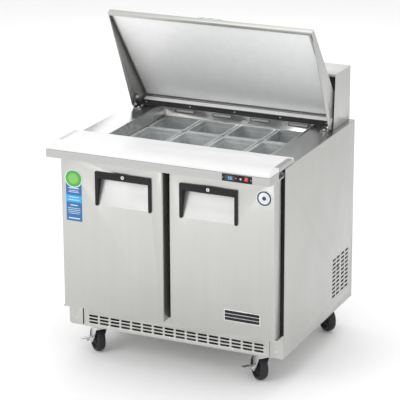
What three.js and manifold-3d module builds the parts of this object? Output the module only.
// Two-door refrigerated sandwich prep table: cabinet on casters, cutting board shelf,
// pan well with twelve food pans, rear hood and a hinged wedge lid shown open.
// Millimetres, +Z up, front towards -Y. Origin: floor level, centre of the overall plan.
import * as THREE from 'three';
import { mergeVertices } from 'three/addons/utils/BufferGeometryUtils.js';
import Module from 'manifold-3d';

const wasm = await Module();
wasm.setup();

// ---- driving dimensions ----
const WIDTH = 905; // over the side panels
const DEPTH = 864; // control buttons to rear panel
const BASE_Z = 128; // underside of the side panels
const DECK_Z = 869; // top face of the deck
const BOARD_TOP = 890; // working surface of the cutting board
const HOOD_TOP = 1087; // top of the fixed rear hood
const SHEET = 2; // folded stainless sheet
const GAP = 0.3; // air between neighbouring pieces
const CONTROL_PROUD = 4; // push button ahead of the board shelf
const SHELF_REACH = 85; // board shelf face ahead of the door faces
const DOOR_T = 53;
const GASKET_T = 8.4;
const DOOR_BOTTOM = 221;
const DOOR_TOP = 836;
const DOOR_INNER_X = 13; // door edge beside the centre line
const DOOR_OUTER_X = 440;
const HINGE_X = 428; // door hinge pins
const HINGE_PIN_R = 4;
const PIN_CLEARANCE = 0.3;
const OPENING_X = 334; // half width of the pan opening
const OPENING_Y0 = -193;
const OPENING_Y1 = 347;
const PAN_COLUMNS = 4;
const PAN_ROWS = 3;
const PAN_PITCH_X = 165;
const PAN_PITCH_Y = 178;
const PAN_RIM = [161, 176]; // rim size of a one-sixth pan
const PAN_BODY = [143, 156]; // body size just under the rim
const PAN_DEPTH = 100;
const PAN_WALL = 2.5;
const PAN_RIM_TOP = 819.3;
const LID_PIVOT = [252.1, 910]; // y, z of the lid hinge pins
const LID_OPEN_DEG = 65.4; // raised angle of the lid at rest
const LID_X = 424; // half width of the lid
const LID_REACH = 448.4; // pivot to front lip, lid closed
const LID_LIP_LOW = -38; // closed free edge below the pivot
const LID_LIP_HIGH = -18;
const LID_BACK = 51.8; // top panel behind the pivot, lid closed
const LID_PITCH_DEG = 12.3; // slope of the closed top panel
const LID_CORNER_R = 39.5; // cheek corner that swings over the deck
const CASTER_X = [346, 366]; // front pair, rear pair
const CASTER_Y = [-234, 357];
const CASTER_YAW_DEG = [139, -41]; // trail direction at rest, front pair and rear pair
const CASTER_TRAIL = 25;
const WHEEL_R = 50;
const WHEEL_W = 34;
const BRAKE_REACH = 40; // how far the toe tab stands out sideways

// ---- derived places ----
const FRONT = -DEPTH / 2;
const REAR = DEPTH / 2;
const SIDE = WIDTH / 2;
const INNER_X = SIDE - SHEET - GAP;
const SHELF_FRONT = FRONT + CONTROL_PROUD;
const DOOR_FRONT = SHELF_FRONT + SHELF_REACH;
const DOOR_BACK = DOOR_FRONT + DOOR_T;
const FRAME_FRONT = DOOR_BACK + 9;
const FRAME_T = 20;
const HINGE_Y = DOOR_FRONT + 27;
const DECK_UNDER = DECK_Z - SHEET;
const PANEL_TOP = DECK_UNDER - GAP;
const SHELF_TOP = DECK_Z + 5;
const PAN_CENTRE_Y = (OPENING_Y0 + OPENING_Y1) / 2;
const MIRROR = { left: -1, right: 1 };

// ---- materials ----
function finish(color, roughness, metalness, more = {}) {
  return new THREE.MeshStandardMaterial({ color, roughness, metalness, ...more });
}
const steel = finish('#c9cac7', 0.35, 0.9);
const darkSteel = finish('#8f908e', 0.4, 0.9);
const galvanised = finish('#a9abad', 0.5, 0.8);
const zinc = finish('#b9bbbd', 0.35, 0.9);
const blackPlastic = finish('#1c1c1d', 0.45, 0);
const rubber = finish('#121213', 0.8, 0);
const boardWhite = finish('#f2f2ef', 0.6, 0);
const linerWhite = finish('#d9dad8', 0.5, 0.3);
const clearPan = finish('#dfe6e6', 0.15, 0, { transparent: true, opacity: 0.4 });
const redPlastic = finish('#c9202c', 0.35, 0);
const greyPlastic = finish('#9b9da0', 0.5, 0);
const blackPaint = finish('#202123', 0.4, 0.4);
const copperFin = finish('#b6b1a6', 0.4, 0.8);

// ---- geometry helpers ----
function box(xa, xb, ya, yb, za, zb) {
  const size = [Math.abs(xb - xa), Math.abs(yb - ya), Math.abs(zb - za)];
  const geometry = new THREE.BoxGeometry(...size);
  return geometry.translate((xa + xb) / 2, (ya + yb) / 2, (za + zb) / 2);
}
function outline(points) {
  return new THREE.Shape(points.map(([a, b]) => new THREE.Vector2(a, b)));
}
function roundedRect(a0, a1, b0, b1, r) {
  const s = new THREE.Shape();
  s.absarc(a1 - r, b1 - r, r, 0, Math.PI / 2);
  s.absarc(a0 + r, b1 - r, r, Math.PI / 2, Math.PI);
  s.absarc(a0 + r, b0 + r, r, Math.PI, 1.5 * Math.PI);
  s.absarc(a1 - r, b0 + r, r, 1.5 * Math.PI, 2 * Math.PI);
  return s;
}
function extrude(shape, depth, curveSegments = 4) {
  return new THREE.ExtrudeGeometry(shape, { depth, curveSegments, bevelEnabled: false });
}
// A (y, z) outline pushed along X between xa and xb.
function prismX(shape, xa, xb, curveSegments) {
  const geometry = extrude(shape, Math.abs(xb - xa), curveSegments);
  geometry.applyMatrix4(new THREE.Matrix4().makeBasis(
    new THREE.Vector3(0, 1, 0), new THREE.Vector3(0, 0, 1), new THREE.Vector3(1, 0, 0)));
  return geometry.translate(Math.min(xa, xb), 0, 0);
}
// An (x, z) outline pushed along Y between ya and yb.
function prismY(shape, ya, yb, curveSegments) {
  const geometry = extrude(shape, Math.abs(yb - ya), curveSegments);
  return geometry.rotateX(Math.PI / 2).translate(0, Math.max(ya, yb), 0);
}
// An (x, y) outline pushed along Z between za and zb.
function prismZ(shape, za, zb, curveSegments) {
  return extrude(shape, zb - za, curveSegments).translate(0, 0, za);
}
function rodX(r, xa, xb, y, z, sides = 16) {
  const geometry = new THREE.CylinderGeometry(r, r, Math.abs(xb - xa), sides);
  return geometry.rotateZ(Math.PI / 2).translate((xa + xb) / 2, y, z);
}
function rodY(r, ya, yb, x, z, sides = 16) {
  const geometry = new THREE.CylinderGeometry(r, r, Math.abs(yb - ya), sides);
  return geometry.translate(x, (ya + yb) / 2, z);
}
function rodZ(r, za, zb, x, y, sides = 16) {
  const geometry = new THREE.CylinderGeometry(r, r, zb - za, sides);
  return geometry.rotateX(Math.PI / 2).translate(x, y, (za + zb) / 2);
}

// ---- solid joins and cuts ----
function toSolid(geometry) {
  let plain = geometry.clone();
  plain.deleteAttribute('normal');
  plain.deleteAttribute('uv');
  plain = mergeVertices(plain, 1e-4);
  const mesh = new wasm.Mesh({
    numProp: 3,
    vertProperties: new Float32Array(plain.attributes.position.array),
    triVerts: new Uint32Array(plain.index.array),
  });
  return new wasm.Manifold(mesh);
}
function toGeometry(solid) {
  const mesh = solid.getMesh();
  const geometry = new THREE.BufferGeometry();
  geometry.setAttribute('position', new THREE.BufferAttribute(mesh.vertProperties.slice(), 3));
  geometry.setIndex(new THREE.BufferAttribute(mesh.triVerts.slice(), 1));
  geometry.computeVertexNormals();
  return geometry;
}
function join(...pieces) {
  return toGeometry(pieces.map(toSolid).reduce((whole, piece) => whole.add(piece)));
}
function cut(base, ...tools) {
  const removed = tools.map(toSolid).reduce((whole, piece) => whole.add(piece));
  return toGeometry(toSolid(base).subtract(removed));
}
// Slots as boxes on a grid: centres come from a count and a pitch.
function centres(count, pitch, middle = 0) {
  return Array.from({ length: count }, (_, i) => middle + (i - (count - 1) / 2) * pitch);
}

// ---- scene graph ----
const table = new THREE.Group();
function add(name, geometry, material, parent = table) {
  const mesh = new THREE.Mesh(geometry, material.clone());
  mesh.name = name;
  parent.add(mesh);
  return mesh;
}

// ---- cabinet shell ----
const LOUVER = {
  rows: 10, pitch: 16.8, z: 271.5, height: 9, length: 33, gap: 10, groupY: [252.5, 346.5],
};

function louverSlots() {
  const slots = [];
  for (const z of centres(LOUVER.rows, LOUVER.pitch, LOUVER.z)) {
    for (const group of LOUVER.groupY) {
      for (const y of centres(2, LOUVER.length + LOUVER.gap, group)) {
        const half = LOUVER.length / 2;
        slots.push(box(SIDE - 10, SIDE + 10, y - half, y + half,
          z - LOUVER.height / 2, z + LOUVER.height / 2));
      }
    }
  }
  return slots;
}
function sidePanel(side) {
  const sheet = box(side * (SIDE - SHEET), side * SIDE, FRAME_FRONT, REAR, BASE_Z, PANEL_TOP);
  return side > 0 ? cut(sheet, ...louverSlots()) : sheet;
}
function rearPanel() {
  const vents = [];
  for (const x of centres(4, 95, 110)) {
    for (const z of centres(6, 24, 261)) {
      vents.push(box(x - 38, x + 38, REAR - 10, REAR + 10, z - 4, z + 4));
    }
  }
  return cut(box(-INNER_X, INNER_X, REAR - SHEET, REAR, BASE_Z, PANEL_TOP), ...vents);
}

// ---- insulated tub: foamed walls with the front and the top open ----
const TUB = { inner: 408, front: FRAME_FRONT + FRAME_T + GAP, rear: REAR - SHEET - GAP, low: 223 };
const STEP = { front: 172, top: 396 }; // space under the tub for the condensing unit
const TUB_FLOOR = 266;
const TUB_STEP = { front: 130, top: 438 };
const TUB_BACK = 372;

function insulatedTub() {
  const outer = outline([[TUB.front, TUB.low], [STEP.front, TUB.low], [STEP.front, STEP.top],
    [TUB.rear, STEP.top], [TUB.rear, PANEL_TOP], [TUB.front, PANEL_TOP]]);
  const hollow = outline([[TUB.front - 20, TUB_FLOOR], [TUB_STEP.front, TUB_FLOOR],
    [TUB_STEP.front, TUB_STEP.top], [TUB_BACK, TUB_STEP.top], [TUB_BACK, DECK_Z],
    [TUB.front - 20, DECK_Z]]);
  const shell = cut(prismX(outer, -INNER_X, INNER_X), prismX(hollow, -TUB.inner, TUB.inner));
  const ledges = [-1, 1].map((side) => box(side * (TUB.inner - 8), side * (TUB.inner + 8),
    TUB.front + 12, TUB_STEP.front, TUB_STEP.top - 6, TUB_STEP.top));
  return join(shell, ...ledges);
}
const DOORWAY = { x0: 28, x1: 418, z0: 263, z1: 812 };
function frontFrame() {
  const back = FRAME_FRONT + FRAME_T;
  const plate = box(-INNER_X, INNER_X, FRAME_FRONT, back, TUB.low, PANEL_TOP);
  const ways = [-1, 1].map((side) => box(side * DOORWAY.x0, side * DOORWAY.x1,
    FRAME_FRONT - 5, back + 5, DOORWAY.z0, DOORWAY.z1));
  const shelfRest = box(-45, 45, back - 5, back + 25, TUB_STEP.top - 6, TUB_STEP.top);
  return join(cut(plate, ...ways), shelfRest);
}

// ---- base frame: tray, corner posts, lower hinge ledges with pins, caster pads ----
const TRAY_TOP = BASE_Z - GAP;
const TRAY_LOW = 124;
const PAD = { x: 44, y: 33, low: 117 };
const POST_X = 395;
function baseFrame() {
  const pieces = [box(-446, 446, FRAME_FRONT + 5.3, REAR - 4, TRAY_LOW, TRAY_TOP)];
  for (const side of [-1, 1]) {
    const ledgeTop = DOOR_BOTTOM - 2;
    pieces.push(
      box(side * POST_X, side * 446, FRAME_FRONT, FRAME_FRONT + 9, TRAY_LOW, ledgeTop),
      box(side * POST_X, side * INNER_X, FRAME_FRONT, FRAME_FRONT + 9, BASE_Z, ledgeTop),
      box(side * POST_X, side * 436, FRAME_FRONT + 9, -160, TRAY_LOW - 4, TRAY_TOP),
      box(side * 408, side * 448, HINGE_Y - 18, FRAME_FRONT + 5, ledgeTop - 4, ledgeTop),
      rodZ(HINGE_PIN_R, ledgeTop - 2, DOOR_BOTTOM + 9, side * HINGE_X, HINGE_Y, 12),
    );
    CASTER_Y.forEach((y, i) => {
      const x = side * CASTER_X[i];
      pieces.push(box(x - PAD.x, x + PAD.x, y - PAD.y, y + PAD.y, PAD.low, TRAY_TOP));
    });
  }
  return join(...pieces);
}
const KICK = { y: FRAME_FRONT + 3.5, sheet: 1.5, x: POST_X - 3, z0: 121, z1: 216 };
function kickGrille() {
  const plate = join(
    box(-KICK.x, KICK.x, KICK.y, KICK.y + KICK.sheet, KICK.z0, KICK.z1),
    box(-KICK.x, KICK.x, KICK.y, KICK.y + 10, KICK.z0, KICK.z0 + KICK.sheet));
  const slots = [];
  for (const x of centres(16, 46.6)) {
    for (const z of centres(3, 13.4, 153)) {
      slots.push(box(x - 19.5, x + 19.5, KICK.y - 5, KICK.y + 5, z - 4, z + 4));
    }
  }
  return cut(plate, ...slots);
}

// ---- deck, pan well and pan rack ----
function topDeck() {
  const curb = join(box(-OPENING_X - 8, OPENING_X + 8, OPENING_Y0 + 3, OPENING_Y1 + 8,
    DECK_UNDER, DECK_Z + 2.5), box(-SIDE, SIDE, FRAME_FRONT, REAR, DECK_UNDER, DECK_Z));
  return cut(curb, box(-OPENING_X, OPENING_X, OPENING_Y0, OPENING_Y1, DECK_Z - 50, DECK_Z + 50));
}
const WELL_LOW = 721;
const RACK_LOW = 812.3;
const RACK_TOP = 817;
function wellLiner() {
  const outer = box(-OPENING_X - SHEET, OPENING_X + SHEET, OPENING_Y0 - SHEET,
    OPENING_Y1 + SHEET, WELL_LOW, PANEL_TOP);
  const inside = box(-OPENING_X, OPENING_X, OPENING_Y0, OPENING_Y1, WELL_LOW - 9, PANEL_TOP + 9);
  const ledge = cut(
    box(-OPENING_X - 1, OPENING_X + 1, OPENING_Y0 - 1, OPENING_Y1 + 1, RACK_LOW - 2.3,
      RACK_LOW - GAP),
    box(-OPENING_X + 8, OPENING_X - 8, OPENING_Y0 + 8, OPENING_Y1 - 8, WELL_LOW, PANEL_TOP));
  const vents = centres(PAN_COLUMNS, PAN_PITCH_X).map((x) => box(x - 39, x + 39,
    OPENING_Y1 - 5, OPENING_Y1 + 5, 839, 849));
  return join(cut(outer, inside, ...vents), ledge);
}
function panRack() {
  const half = OPENING_X - 0.5;
  const y0 = OPENING_Y0 + 0.5;
  const y1 = OPENING_Y1 - 0.5;
  const ring = cut(box(-half, half, y0, y1, RACK_LOW, RACK_TOP),
    box(-half + 8, half - 8, y0 + 12, y1 - 12, RACK_LOW - 5, RACK_TOP + 5));
  const bars = centres(PAN_ROWS - 1, PAN_PITCH_Y, PAN_CENTRE_Y).map((y) => box(-half + 4,
    half - 4, y - 6, y + 6, RACK_LOW, RACK_TOP));
  return join(ring, ...bars);
}
// One-sixth pan: flat rim, straight-tapered body, open top.
function taper(geometry, top, low, ratio) {
  const p = geometry.attributes.position;
  for (let i = 0; i < p.count; i += 1) {
    const k = 1 - (1 - ratio) * (top - p.getZ(i)) / (top - low);
    p.setXY(i, p.getX(i) * k, p.getY(i) * k);
  }
  return geometry;
}
function centredRect([a, b], r) {
  return roundedRect(-a / 2, a / 2, -b / 2, b / 2, r);
}
function foodPan() {
  const rim = prismZ(centredRect(PAN_RIM, 14), -SHEET, 0, 2);
  const body = taper(prismZ(centredRect(PAN_BODY, 16), -PAN_DEPTH, -1, 2), 0, -PAN_DEPTH, 0.9);
  const bore = PAN_BODY.map((side) => side - 2 * PAN_WALL);
  const hollow = taper(prismZ(centredRect(bore, 14), PAN_WALL - PAN_DEPTH, 5, 2), 0,
    -PAN_DEPTH, 0.9);
  return cut(join(rim, body), hollow);
}

// ---- board shelf, cutting board, controls ----
const RAIL = { x: 432, y0: DOOR_FRONT + 3, y1: -214 };
const SHELF_LOW = 843;
const SHELF_BACK = -200;
const PANEL = { x0: 267, x1: 384, z0: 845, z1: 872 };
const PANEL_MID_Z = 859;
const SWITCH_X = 362;
const BUTTON_X = 341;
function boardShelf() {
  const pieces = [
    box(-SIDE, SIDE, SHELF_FRONT, SHELF_BACK, SHELF_TOP - SHEET, SHELF_TOP),
    box(-SIDE, SIDE, SHELF_FRONT, SHELF_FRONT + SHEET, SHELF_LOW, SHELF_TOP),
    box(-SIDE, SIDE, SHELF_FRONT, SHELF_FRONT + 36, SHELF_LOW, SHELF_LOW + SHEET),
    box(-430, 430, FRAME_FRONT, FRAME_FRONT + 30, DECK_Z + GAP, SHELF_TOP),
  ];
  for (const side of [-1, 1]) {
    pieces.push(
      box(side * (SIDE - SHEET), side * SIDE, SHELF_FRONT, DOOR_FRONT, SHELF_LOW, SHELF_TOP),
      box(side * RAIL.x, side * SIDE, RAIL.y0, RAIL.y1, SHELF_TOP - SHEET, BOARD_TOP - 2),
    );
  }
  const window = box(PANEL.x0 + 3.5, PANEL.x1 - 3.5, SHELF_FRONT - 5, SHELF_FRONT + 5,
    PANEL.z0 + 3, PANEL.z1 - 3);
  return cut(join(...pieces), window);
}
function cuttingBoard() {
  const z0 = SHELF_TOP + GAP;
  const plate = roundedRect(-SIDE, SIDE, SHELF_FRONT + 0.5, SHELF_BACK - 2, 5);
  const notches = [-1, 1].map((side) => box(side * (RAIL.x - GAP), side * (SIDE + 9),
    RAIL.y0 - GAP, RAIL.y1 + GAP, z0 - 5, BOARD_TOP + 5));
  return cut(prismZ(plate, z0, BOARD_TOP, 4), ...notches);
}
function controlPanel() {
  const front = SHELF_FRONT - GAP;
  const face = box(PANEL.x0, PANEL.x1, front - 1.7, front, PANEL.z0, PANEL.z1);
  const housing = box(PANEL.x0 + 4, PANEL.x1 - 4, front - 0.5, front + 26, PANEL.z0 + 3.5,
    PANEL.z1 - 3.5);
  const switchWell = box(SWITCH_X - 7.4, SWITCH_X + 7.4, front - 9, front + 12,
    PANEL_MID_Z - 8.6, PANEL_MID_Z + 8.6);
  const buttonWell = rodY(4.4, front - 9, front + 12, BUTTON_X, PANEL_MID_Z);
  return cut(join(face, housing), switchWell, buttonWell);
}
function rocker() {
  const profile = outline([[-4.5, 0], [-3.8, -7.2], [4, -6], [4, 6], [-3.8, 7.2]]);
  return prismX(profile, -7, 7);
}

// ---- doors ----
const SCOOP = { x0: 64, x1: 286, z0: 652, z1: 762, depth: 34 };
const PULL = { x0: 58, x1: 292, z0: 649, z1: 785, proud: 6, bar: 27, leg: 12 };
const LOCK = { x: 175, z: 773, r: 7 };
function door(side) {
  const [xa, xb] = [side * DOOR_INNER_X, side * DOOR_OUTER_X].sort((a, b) => a - b);
  const r = 7;
  const plan = new THREE.Shape();
  plan.moveTo(xb, DOOR_BACK);
  plan.lineTo(xa, DOOR_BACK);
  plan.absarc(xa + r, DOOR_FRONT + r, r, Math.PI, 1.5 * Math.PI);
  plan.absarc(xb - r, DOOR_FRONT + r, r, 1.5 * Math.PI, 2 * Math.PI);
  const scoop = outline([[DOOR_FRONT - 9, SCOOP.z0], [DOOR_FRONT, SCOOP.z0],
    [DOOR_FRONT + SCOOP.depth, SCOOP.z1], [DOOR_FRONT - 9, SCOOP.z1]]);
  return cut(prismZ(plan, DOOR_BOTTOM, DOOR_TOP, 3),
    prismX(scoop, side * SCOOP.x0, side * SCOOP.x1),
    rodY(LOCK.r + PIN_CLEARANCE, DOOR_FRONT - 9, DOOR_FRONT + 20, side * LOCK.x, LOCK.z),
    ...[DOOR_BOTTOM, DOOR_TOP].map((z) => rodZ(HINGE_PIN_R + PIN_CLEARANCE, z - 12, z + 12,
      side * HINGE_X, HINGE_Y, 12)));
}
function doorGasket(side) {
  const grip = 12;
  const [x0, x1] = [DOORWAY.x0 - grip, DOORWAY.x1 + grip];
  const [z0, z1] = [DOORWAY.z0 - grip, DOORWAY.z1 + grip];
  const back = DOOR_BACK + GAP;
  const ring = box(side * x0, side * x1, back, back + GASKET_T - GAP, z0, z1);
  return cut(ring, box(side * (x0 + 13), side * (x1 - 13), back - 9, back + 20, z0 + 13,
    z1 - 13));
}
function doorPull(side) {
  const y0 = DOOR_FRONT - PULL.proud;
  const y1 = DOOR_FRONT - GAP;
  const legX = (PULL.x0 + PULL.leg / 2);
  const endX = (PULL.x1 - PULL.leg / 2);
  const barLow = PULL.z1 - PULL.bar;
  const face = roundedRect(...[side * PULL.x0, side * PULL.x1].sort((a, b) => a - b),
    barLow, PULL.z1, 5);
  const slope = SCOOP.depth / (SCOOP.z1 - SCOOP.z0);
  const cheekTop = SCOOP.z1 - GAP;
  const cheekDepth = DOOR_FRONT + (cheekTop - SCOOP.z0) * slope - 0.6;
  const cheek = outline([[y0 + 1, SCOOP.z0 + 3], [DOOR_FRONT, SCOOP.z0 + 3],
    [cheekDepth, cheekTop], [y0 + 1, cheekTop]]);
  const pieces = [prismY(face, y0, y1, 3)];
  for (const x of [legX, endX]) {
    const low = PULL.z0 + PULL.leg / 2;
    pieces.push(box(side * x - 6, side * x + 6, y0, y1, low, PULL.z1 - 9),
      rodY(PULL.leg / 2, y0, y1, side * x, low, 12));
  }
  pieces.push(
    prismX(cheek, side * (SCOOP.x0 + GAP), side * (SCOOP.x0 + 4)),
    prismX(cheek, side * (SCOOP.x1 - 4), side * (SCOOP.x1 - GAP)),
    box(side * (SCOOP.x0 + GAP), side * (SCOOP.x1 - GAP), y0 + 1, cheekDepth - 2,
      cheekTop - 4, cheekTop));
  return cut(join(...pieces), rodY(LOCK.r + PIN_CLEARANCE, y0 - 9, cheekDepth + 9,
    side * LOCK.x, LOCK.z));
}
function doorLock(side) {
  const y0 = DOOR_FRONT - PULL.proud - 1.5;
  const plug = rodY(LOCK.r, y0, DOOR_FRONT + 18, side * LOCK.x, LOCK.z);
  return cut(plug, box(side * LOCK.x - 1, side * LOCK.x + 1, y0 - 5, y0 + 8, LOCK.z - 4,
    LOCK.z + 4));
}
function upperHinge(side) {
  const z0 = DOOR_TOP + 1.5;
  return join(
    box(side * 408, side * 448, HINGE_Y - 18, FRAME_FRONT - GAP, z0, z0 + 4),
    box(side * 408, side * 448, FRAME_FRONT - 3.3, FRAME_FRONT - GAP, z0, z0 + 22),
    rodZ(HINGE_PIN_R, DOOR_TOP - 9, z0 + 2, side * HINGE_X, HINGE_Y, 12));
}

// ---- rear hood ----
const HOOD = { x: 430, low: 258, high: 272, lip: 9 };
function rearHood() {
  const z0 = DECK_Z + GAP;
  const lean = (HOOD.high - HOOD.low) / (HOOD_TOP - z0);
  const faceY = (z) => HOOD.low + (z - z0) * lean;
  const lipLow = HOOD_TOP - HOOD.lip;
  const outer = outline([[HOOD.low, z0], [REAR, z0], [REAR, HOOD_TOP], [HOOD.high, HOOD_TOP]]);
  const hollow = outline([[HOOD.low - 40, z0 - 9], [REAR - SHEET, z0 - 9],
    [REAR - SHEET, HOOD_TOP - SHEET], [faceY(HOOD_TOP) + SHEET, HOOD_TOP - SHEET],
    [faceY(lipLow) + SHEET, lipLow], [HOOD.low - 40, lipLow]]);
  return cut(prismX(outer, -HOOD.x, HOOD.x), prismX(hollow, SHEET - HOOD.x, HOOD.x - SHEET));
}

// ---- lid, drawn closed about its pivot and raised by its group ----
const LID_SLOPE = Math.tan(THREE.MathUtils.degToRad(LID_PITCH_DEG));
const LID_DROP = SHEET / Math.cos(THREE.MathUtils.degToRad(LID_PITCH_DEG));
const lidTop = (y) => LID_LIP_HIGH + (y + LID_REACH) * LID_SLOPE;
function lidShell() {
  const outer = new THREE.Shape();
  const lowAngle = -Math.PI + Math.asin(-LID_LIP_LOW / LID_CORNER_R);
  outer.moveTo(-LID_REACH, LID_LIP_LOW);
  outer.lineTo(-LID_REACH, LID_LIP_HIGH);
  outer.lineTo(LID_BACK, lidTop(LID_BACK));
  outer.absarc(0, 0, LID_CORNER_R, 0, lowAngle, true);
  const lipY = SHEET - LID_REACH;
  const hollow = outline([[lipY, -60], [lipY, lidTop(lipY) - LID_DROP],
    [LID_BACK + 20, lidTop(LID_BACK + 20) - LID_DROP], [LID_BACK + 20, -60]]);
  const shell = cut(prismX(outer, -LID_X, LID_X, 8), prismX(hollow, SHEET - LID_X, LID_X - SHEET),
    rodX(5 + PIN_CLEARANCE, -LID_X - 9, LID_X + 9, 0, 0));
  const lipFlange = box(1 - LID_X, LID_X - 1, lipY - 1, lipY + 12, LID_LIP_LOW, LID_LIP_LOW + 1.5);
  return join(shell, lipFlange);
}
function lidLiner() {
  const y0 = SHEET + 0.6 - LID_REACH;
  const y1 = 35;
  const drop = LID_DROP + GAP;
  const slab = outline([[y0, lidTop(y0) - drop], [y0, lidTop(y0) - drop - 15.5],
    [y1, lidTop(y1) - drop - 15.5], [y1, lidTop(y1) - drop]]);
  return prismX(slab, -412, 412);
}
function lidHandle() {
  const reach = 54;
  const foot = new THREE.Vector3(reach, -436, lidTop(-436) + 1.5);
  const post = new THREE.Vector3(reach, -436, foot.z + 3);
  const shoulder = new THREE.Vector3(reach - 5, -439, foot.z + 9);
  const arch = new THREE.Vector3(reach - 16, -442, foot.z + 11);
  const crown = new THREE.Vector3(0, -444, foot.z + 12);
  const flip = (v) => new THREE.Vector3(-v.x, v.y, v.z);
  const path = new THREE.CatmullRomCurve3([foot, post, shoulder, arch, crown, flip(arch),
    flip(shoulder), flip(post), flip(foot)]);
  const rod = new THREE.Shape().absarc(0, 0, 4, 0, 2 * Math.PI);
  return new THREE.ExtrudeGeometry(rod, { steps: 28, curveSegments: 5, extrudePath: path });
}
function lidBracket(side) {
  const [y, z] = LID_PIVOT;
  const z0 = DECK_Z + GAP;
  const upright = new THREE.Shape();
  upright.moveTo(y - 27, z0);
  upright.lineTo(y + 27, z0);
  upright.absarc(y, z, 15, 0, Math.PI);
  return join(
    prismX(upright, side * 416, side * 420, 6),
    box(side * 385, side * 420, y - 27, y + 27, z0, z0 + 3),
    rodX(5, side * 416, side * 426.5, y, z));
}

// ---- casters ----
const CROWN_LOW = 104;
function casterFork() {
  const eye = { r: 11, from: 1.15 * Math.PI, to: 2.05 * Math.PI };
  const arm = new THREE.Shape();
  arm.moveTo(-24, CROWN_LOW + 6);
  arm.lineTo(CASTER_TRAIL + eye.r * Math.cos(eye.from), WHEEL_R + eye.r * Math.sin(eye.from));
  arm.absarc(CASTER_TRAIL, WHEEL_R, eye.r, eye.from, eye.to);
  arm.lineTo(30, CROWN_LOW + 6);
  const legs = [[-23.5, -20], [20, 23.5]].map(([ya, yb]) => prismY(arm, ya, yb, 6));
  return join(...legs,
    box(-24, 30, -23.5, 23.5, CROWN_LOW, CROWN_LOW + 6),
    rodZ(27, CROWN_LOW + 4, PAD.low - GAP, 0, 0, 20),
    rodY(5, -23.5, 23.5, CASTER_TRAIL, WHEEL_R, 14));
}
function casterWheel() {
  const half = WHEEL_W / 2;
  const bore = 5 + PIN_CLEARANCE + 0.1;
  const profile = [[bore, -half], [16, -half], [18, 4 - half], [39, 4 - half], [41, -half],
    [47, -half], [WHEEL_R, 4 - half], [WHEEL_R, half - 4], [47, half], [41, half],
    [39, half - 4], [18, half - 4], [16, half], [bore, half], [bore, -half]];
  const points = profile.map(([r, h]) => new THREE.Vector2(r, h));
  return new THREE.LatheGeometry(points, 24).translate(CASTER_TRAIL, 0, WHEEL_R);
}
function brakeLever() {
  const side = 24;
  const tabX = [CASTER_TRAIL + 6, CASTER_TRAIL + 28];
  return join(
    rodY(13, side, side + 3.5, CASTER_TRAIL, WHEEL_R, 16),
    box(CASTER_TRAIL, tabX[1], side, side + 3.5, WHEEL_R - 8, WHEEL_R + 5),
    box(...tabX, side + 0.5, side + BRAKE_REACH, WHEEL_R + 1, WHEEL_R + 4),
    box(tabX[0], tabX[0] + 3, side + 0.5, side + BRAKE_REACH / 2, WHEEL_R - 8, WHEEL_R + 3));
}

// ---- refrigeration ----
const UNIT = { y: 300, z: 254, fan: 78 };
function compressor() {
  const dome = [[0, 144], [66, 144], [70, 152], [70, 238], [64, 268], [44, 292], [0, 300]];
  const can = new THREE.LatheGeometry(dome.map(([r, z]) => new THREE.Vector2(r, z)), 20);
  can.rotateX(Math.PI / 2).translate(120, UNIT.y, 0);
  return join(can, box(30, 210, UNIT.y - 85, UNIT.y + 85, BASE_Z + GAP, BASE_Z + 5),
    rodZ(40, BASE_Z + 3, 146, 120, UNIT.y));
}
function blades(count, hubR, tipR, width, twistDeg) {
  return Array.from({ length: count }, (_, i) => {
    const blade = new THREE.BoxGeometry(2, width, tipR - hubR + 6);
    blade.rotateZ(THREE.MathUtils.degToRad(twistDeg));
    blade.translate(0, 0, (tipR + hubR) / 2 - 3);
    return blade.rotateX((2 * Math.PI * i) / count);
  });
}
// Axial fan about the X axis, centred on its own hub, with the shaft bore towards -X.
function fan(hubR, tipR, width) {
  return cut(join(rodX(hubR, -11, 11, 0, 0), ...blades(5, hubR, tipR, width, 58)),
    rodX(4 + PIN_CLEARANCE, -20, 2, 0, 0, 12));
}
function condenser() {
  const coil = box(384, 420, UNIT.y - 105, UNIT.y + 105, 136, 376);
  const fins = centres(12, 17, UNIT.y).map((y) => box(404, 430, y - 5, y + 5, 144, 368));
  const shroud = cut(box(376, 386, UNIT.y - 105, UNIT.y + 105, 136, 376),
    rodX(UNIT.fan + 4, 370, 384, UNIT.y, UNIT.z, 24));
  const rail = box(300, 380, UNIT.y - 101, UNIT.y - 91, UNIT.z - 6, UNIT.z + 6);
  const arm = box(300, 308, UNIT.y - 101, UNIT.y, UNIT.z - 6, UNIT.z + 6);
  return join(cut(coil, ...fins), shroud, rail, arm,
    rodX(28, 298, 336, UNIT.y, UNIT.z), rodX(4, 330, 352, UNIT.y, UNIT.z, 12),
    box(384, 416, UNIT.y - 60, UNIT.y + 60, BASE_Z + GAP, 138));
}
const COOLER = { x: 0, z: 568, y0: 288, y1: TUB_BACK - GAP, half: 170, tall: 108, fan: 64 };
function evaporator() {
  const { z, y0, y1, half, tall } = COOLER;
  const casing = cut(box(-half, half, y0, y1, z - tall, z + tall),
    box(-half + 3, half - 3, y0 + 3, y1 - 30, z - tall - 9, z + tall - 3),
    rodY(COOLER.fan + 6, y0 - 9, y0 + 9, COOLER.x, z, 24));
  return join(casing, rodY(26, y0 + 40, y1 - 20, COOLER.x, z),
    rodY(4, y0 + 24, y0 + 45, COOLER.x, z, 12));
}
function wireShelf(side) {
  const [x0, x1] = [38, 404];
  const [y0, y1] = [-248, 278];
  const z0 = TUB_STEP.top + GAP;
  const ring = cut(box(side * x0, side * x1, y0, y1, z0, z0 + 6),
    box(side * (x0 + 6), side * (x1 - 6), y0 + 6, y1 - 6, z0 - 5, z0 + 15));
  const wires = centres(11, 30, (x0 + x1) / 2).map((x) => box(side * x - 2, side * x + 2,
    y0 + 3, y1 - 3, z0 + 1, z0 + 5));
  return join(ring, ...wires);
}

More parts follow.
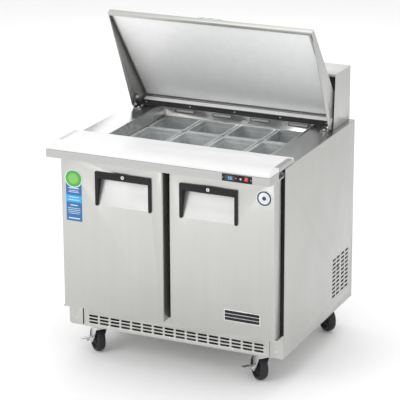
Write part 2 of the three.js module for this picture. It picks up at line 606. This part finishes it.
// ---- assembly ----
for (const [hand, side] of Object.entries(MIRROR)) {
  add(`${hand}_side_panel`, sidePanel(side), steel);
  add(`${hand}_door`, door(side), steel);
  add(`${hand}_door_gasket`, doorGasket(side), rubber);
  add(`${hand}_door_handle`, doorPull(side), blackPlastic);
  add(`${hand}_door_lock`, doorLock(side), zinc);
  add(`${hand}_upper_hinge`, upperHinge(side), darkSteel);
  add(`${hand}_lid_bracket`, lidBracket(side), darkSteel);
  add(`${hand}_wire_shelf`, wireShelf(side), linerWhite);
}
add('rear_panel', rearPanel(), galvanised);
add('insulated_tub', insulatedTub(), linerWhite);
add('front_frame', frontFrame(), blackPlastic);
add('base_frame', baseFrame(), steel);
add('kick_grille', kickGrille(), steel);
add('top_deck', topDeck(), steel);
add('well_liner', wellLiner(), steel);
add('pan_rack', panRack(), darkSteel);
add('board_shelf', boardShelf(), steel);
add('cutting_board', cuttingBoard(), boardWhite);
add('control_panel', controlPanel(), blackPlastic);
add('set_button', rodY(4, FRONT, FRONT + 9, BUTTON_X, PANEL_MID_Z), greyPlastic);
add('rear_hood', rearHood(), steel);

const switchGroup = new THREE.Group();
switchGroup.position.set(SWITCH_X, SHELF_FRONT + 3, PANEL_MID_Z);
switchGroup.rotation.x = THREE.MathUtils.degToRad(-7);
table.add(switchGroup);
add('power_switch', rocker(), redPlastic, switchGroup);

const lidGroup = new THREE.Group();
lidGroup.position.set(0, ...LID_PIVOT);
lidGroup.rotation.x = THREE.MathUtils.degToRad(-LID_OPEN_DEG);
table.add(lidGroup);
add('lid_shell', lidShell(), steel, lidGroup);
add('lid_liner', lidLiner(), steel, lidGroup);
add('lid_handle', lidHandle(), zinc, lidGroup);

const rowNames = ['front', 'middle', 'rear'];
centres(PAN_ROWS, PAN_PITCH_Y, PAN_CENTRE_Y).forEach((y, row) => {
  centres(PAN_COLUMNS, PAN_PITCH_X).forEach((x, column) => {
    const pan = add(`pan_${rowNames[row]}_${column + 1}`, foodPan(), clearPan);
    pan.position.set(x, y, PAN_RIM_TOP);
  });
});

for (const [hand, side] of Object.entries(MIRROR)) {
  ['front', 'rear'].forEach((end, i) => {
    const place = new THREE.Group();
    place.position.set(side * CASTER_X[i], CASTER_Y[i], 0);
    place.rotation.z = THREE.MathUtils.degToRad(CASTER_YAW_DEG[i]);
    table.add(place);
    add(`${end}_${hand}_caster_fork`, casterFork(), zinc, place);
    add(`${end}_${hand}_caster_wheel`, casterWheel(), rubber, place);
    if (end === 'front') add(`${end}_${hand}_brake_lever`, brakeLever(), zinc, place);
  });
}

add('compressor', compressor(), blackPaint);
add('condenser', condenser(), copperFin);
add('condenser_fan', fan(18, UNIT.fan, 26), blackPlastic).position.set(352, UNIT.y, UNIT.z);
add('evaporator', evaporator(), galvanised);
const coolerFan = add('evaporator_fan', fan(16, COOLER.fan, 22), blackPlastic);
coolerFan.position.set(COOLER.x, COOLER.y0 + 22, COOLER.z);
coolerFan.rotation.z = -Math.PI / 2;

export default table;
